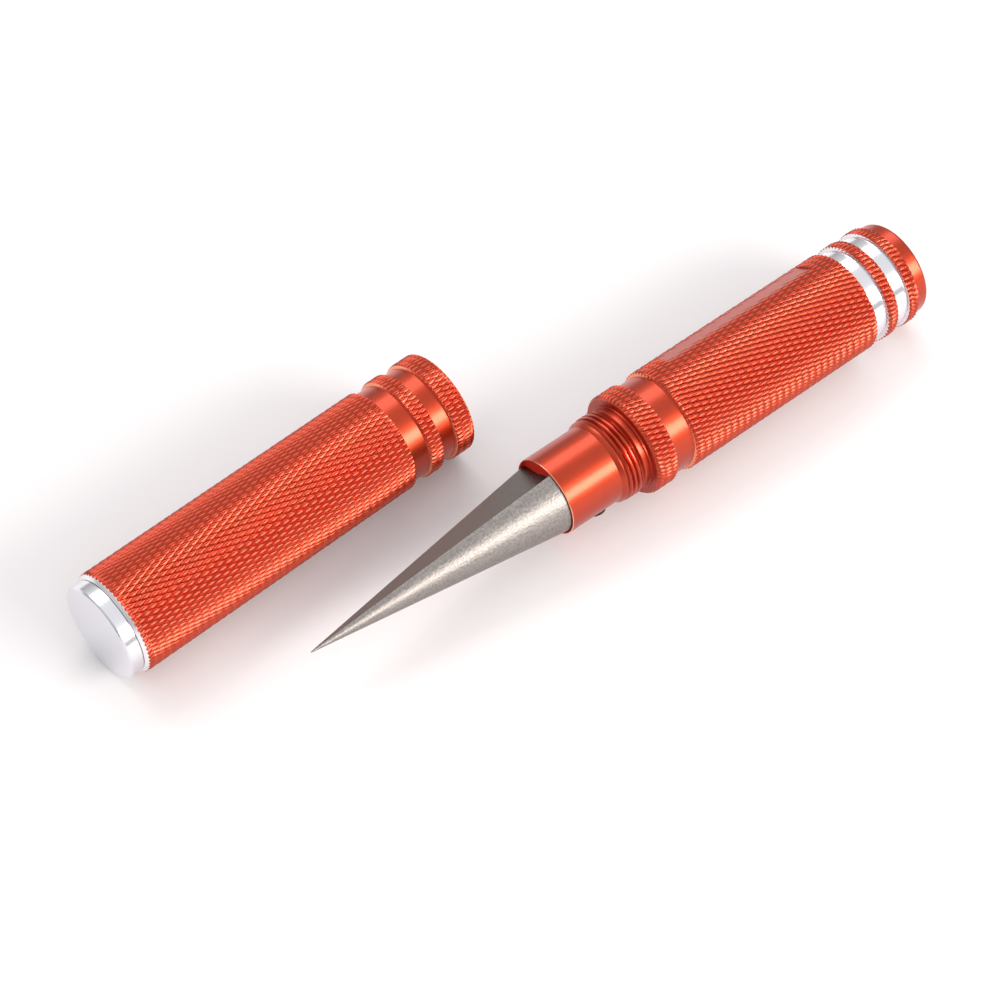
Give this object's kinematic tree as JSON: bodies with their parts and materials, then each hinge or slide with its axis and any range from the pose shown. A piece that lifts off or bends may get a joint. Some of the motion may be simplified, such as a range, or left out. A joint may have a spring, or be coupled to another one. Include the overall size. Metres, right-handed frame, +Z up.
{
  "type": "hand reamer",
  "caption": "Tapered hand reamer with a knurled round handle and a matching screw-on knurled cap that covers the blade.",
  "frame": {"origin": "on the surface that the handle and the cap lie on, below the middle of the box around both", "axes": "+Z up, +X along the handle's axis from the blade's tip to the tail, +Y toward the cap"},
  "size_m": [0.1616, 0.0486, 0.02],
  "materials": {
    "orange_anodised": "satin orange-red anodised aluminium, machine knurled",
    "bright_aluminium": "bright-turned bare aluminium",
    "tool_steel": "fine-ground satin tool steel",
    "black_steel": "black-oxide steel"
  },
  "bodies": {
    "handle": {"nose_bush": "orange_anodised", "grip_tube": "orange_anodised", "tail_plug": "orange_anodised"},
    "blade": {"reamer_blade": "tool_steel"},
    "clamp_screw": {"clamp_grub_screw": "black_steel"},
    "cap_end": {"cap_end_plug": "bright_aluminium"},
    "cap": {"cap_tube": "orange_anodised"}
  },
  "joints": [
    {"name": "cap_offer_up", "type": "slide", "parent": "handle", "child": "cap_end", "axis": [-0.9466, -0.3223, 0], "range_m": [0, 0.0888]},
    {"name": "cap_twist", "type": "hinge", "parent": "cap_end", "child": "cap", "pos_m": [-0.00411, 0.01432, 0.01], "axis": [0.9994, 0.0356, 0], "continuous": true},
    {"name": "blade_draw_out", "type": "slide", "parent": "handle", "child": "blade", "axis": [-1, 0, 0], "range_m": [0, 0.024]},
    {"name": "clamp_screw_turn", "type": "hinge", "parent": "handle", "child": "clamp_screw", "pos_m": [0.00481, -0.01917, 0.00421], "axis": [0, -0.6428, -0.766], "range_deg": [0, 720]}
  ]
}
